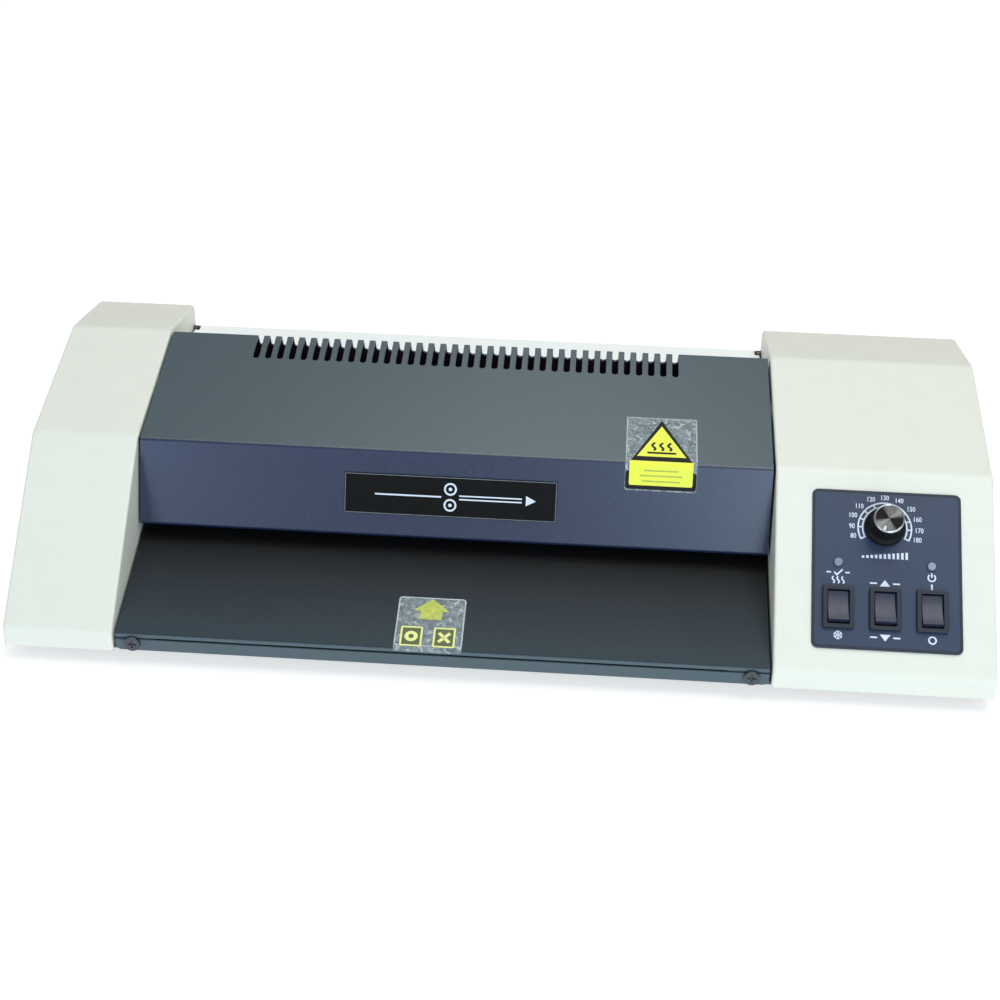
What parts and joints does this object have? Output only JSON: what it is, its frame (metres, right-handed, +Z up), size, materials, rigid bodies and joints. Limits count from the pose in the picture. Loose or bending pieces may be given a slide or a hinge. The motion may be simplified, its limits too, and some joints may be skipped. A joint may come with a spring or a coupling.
{
  "type": "pouch laminator",
  "caption": "Desktop pouch laminator: dark sloping feed tray and slotted cover between two pale end caps, control panel on the right cap, heated rubber rollers geared to a motor inside.",
  "frame": {"origin": "centre of the bounding box in X and Y, on the surface under the rubber feet", "axes": "+X to the right seen from the front, +Y from the feed side to the rear, +Z up"},
  "size_m": [0.48, 0.2238, 0.1027],
  "materials": {
    "cap_plastic": "fine textured off-white moulding",
    "cover_paint": "dark grey metallic paint",
    "rear_paint": "off-white paint",
    "base_paint": "dark grey metallic paint",
    "tray_paint": "dark grey metallic paint",
    "plain_steel": "bright steel",
    "nameplate_black": "gloss black plate",
    "label_film": "yellow print under clear film",
    "panel_print": "navy printed overlay",
    "switch_black": "black moulding",
    "rocker_black": "semi-gloss black",
    "knob_black": "black with a spun top",
    "pot_blue": "blue moulding",
    "lamp_lens": "clear lens",
    "board_green": "green circuit board",
    "component_black": "black components",
    "frame_steel": "zinc-plated steel",
    "silicone_red": "red silicone rubber",
    "gear_plastic": "natural acetal",
    "bush_bronze": "sintered bronze",
    "block_plastic": "brown heat-proof moulding",
    "spring_steel": "bright spring wire",
    "shoe_aluminium": "extruded aluminium",
    "rod_steel": "heat-tinted steel",
    "ceramic_white": "ceramic",
    "sensor_brass": "brass",
    "pinion_brass": "brass",
    "motor_metal": "grey die casting",
    "foot_rubber": "black rubber",
    "wire_red": "red lead insulation",
    "screw_metal": "zinc-plated steel"
  },
  "bodies": {
    "casing": {"left_end_cap": "cap_plastic", "right_end_cap": "cap_plastic", "top_cover": "cover_paint", "rear_panel": "rear_paint", "base_pan": "base_paint", "feed_tray": "tray_paint", "transfer_guide": "plain_steel", "exit_guide": "plain_steel", "nameplate": "nameplate_black", "labels": "label_film", "control_panel": "panel_print", "heat_switch_body": "switch_black", "direction_switch_body": "switch_black", "power_switch_body": "switch_black", "potentiometer_body": "pot_blue", "ready_lamp": "lamp_lens", "power_lamp": "lamp_lens", "control_board": "board_green", "board_components": "component_black", "inlet_socket": "switch_black", "left_side_frame": "frame_steel", "right_side_frame": "frame_steel", "tie_bars": "plain_steel", "lower_bushes": "bush_bronze", "hot_springs": "spring_steel", "cold_springs": "spring_steel", "spring_plates": "frame_steel", "lower_heater_shoe": "shoe_aluminium", "upper_heater_shoe": "shoe_aluminium", "heating_rods": "rod_steel", "thermostat": "ceramic_white", "temperature_sensor": "sensor_brass", "idler_pin": "plain_steel", "motor_bracket": "frame_steel", "motor": "motor_metal", "rubber_feet": "foot_rubber", "wiring": "wire_red", "visible_screws": "screw_metal", "inner_screws": "screw_metal"},
    "temperature_knob": {"temperature_knob": "knob_black", "potentiometer_shaft": "plain_steel"},
    "heat_rocker": {"heat_rocker": "rocker_black"},
    "direction_rocker": {"direction_rocker": "rocker_black"},
    "power_rocker": {"power_rocker": "rocker_black"},
    "lower_hot_roller": {"lower_hot_core": "plain_steel", "lower_hot_sleeve": "silicone_red", "lower_hot_gear": "gear_plastic"},
    "lower_cold_roller": {"lower_cold_core": "plain_steel", "lower_cold_sleeve": "silicone_red", "lower_cold_gear": "gear_plastic"},
    "hot_carriage": {"hot_bearing_blocks": "block_plastic"},
    "cold_carriage": {"cold_bearing_blocks": "block_plastic"},
    "upper_hot_roller": {"upper_hot_core": "plain_steel", "upper_hot_sleeve": "silicone_red", "upper_hot_gear": "gear_plastic"},
    "upper_cold_roller": {"upper_cold_core": "plain_steel", "upper_cold_sleeve": "silicone_red", "upper_cold_gear": "gear_plastic"},
    "idler_gear": {"idler_gear": "gear_plastic"},
    "motor_pinion": {"motor_pinion": "pinion_brass"}
  },
  "joints": [
    {"name": "temperature_turn", "type": "hinge", "parent": "casing", "child": "temperature_knob", "pos_m": [0.1868, -0.05555, 0.06596], "axis": [0, 0.6481, -0.7615], "range_deg": [0, 300]},
    {"name": "heat_rocker_tilt", "type": "hinge", "parent": "casing", "child": "heat_rocker", "pos_m": [0.1644, -0.08723, 0.039], "axis": [1, 0, 0], "range_deg": [0, 24]},
    {"name": "direction_rocker_tilt", "type": "hinge", "parent": "casing", "child": "direction_rocker", "pos_m": [0.1868, -0.08723, 0.039], "axis": [1, 0, 0], "range_deg": [0, 24]},
    {"name": "power_rocker_tilt", "type": "hinge", "parent": "casing", "child": "power_rocker", "pos_m": [0.2092, -0.08723, 0.039], "axis": [1, 0, 0], "range_deg": [0, 24]},
    {"name": "lower_hot_spin", "type": "hinge", "parent": "casing", "child": "lower_hot_roller", "pos_m": [-0.026, -0.0119, 0.0315], "axis": [1, 0, 0], "continuous": true},
    {"name": "lower_cold_spin", "type": "hinge", "parent": "casing", "child": "lower_cold_roller", "pos_m": [-0.026, 0.0481, 0.0315], "axis": [1, 0, 0], "continuous": true},
    {"name": "hot_carriage_lift", "type": "slide", "parent": "casing", "child": "hot_carriage", "axis": [0, 0, 1], "range_m": [0, 0.001], "stiffness_N_per_m": 10000, "springref_m": -0.006, "deforming": ["hot_springs"]},
    {"name": "cold_carriage_lift", "type": "slide", "parent": "casing", "child": "cold_carriage", "axis": [0, 0, 1], "range_m": [0, 0.001], "stiffness_N_per_m": 10000, "springref_m": -0.006, "deforming": ["cold_springs"]},
    {"name": "upper_hot_spin", "type": "hinge", "parent": "hot_carriage", "child": "upper_hot_roller", "pos_m": [-0.026, -0.0119, 0.0575], "axis": [1, 0, 0], "continuous": true},
    {"name": "upper_cold_spin", "type": "hinge", "parent": "cold_carriage", "child": "upper_cold_roller", "pos_m": [-0.026, 0.0481, 0.0575], "axis": [1, 0, 0], "continuous": true},
    {"name": "idler_spin", "type": "hinge", "parent": "casing", "child": "idler_gear", "pos_m": [0.1495, 0.0181, 0.0315], "axis": [1, 0, 0], "continuous": true},
    {"name": "pinion_spin", "type": "hinge", "parent": "casing", "child": "motor_pinion", "pos_m": [0.1495, 0.0181, 0.057], "axis": [1, 0, 0], "continuous": true}
  ],
  "couplings": [
    {"joint": "lower_cold_spin", "follows": "lower_hot_spin", "ratio": 1},
    {"joint": "upper_hot_spin", "follows": "lower_hot_spin", "ratio": -1},
    {"joint": "upper_cold_spin", "follows": "lower_hot_spin", "ratio": -1},
    {"joint": "idler_spin", "follows": "lower_hot_spin", "ratio": -0.76471},
    {"joint": "pinion_spin", "follows": "lower_hot_spin", "ratio": 1.5294}
  ]
}
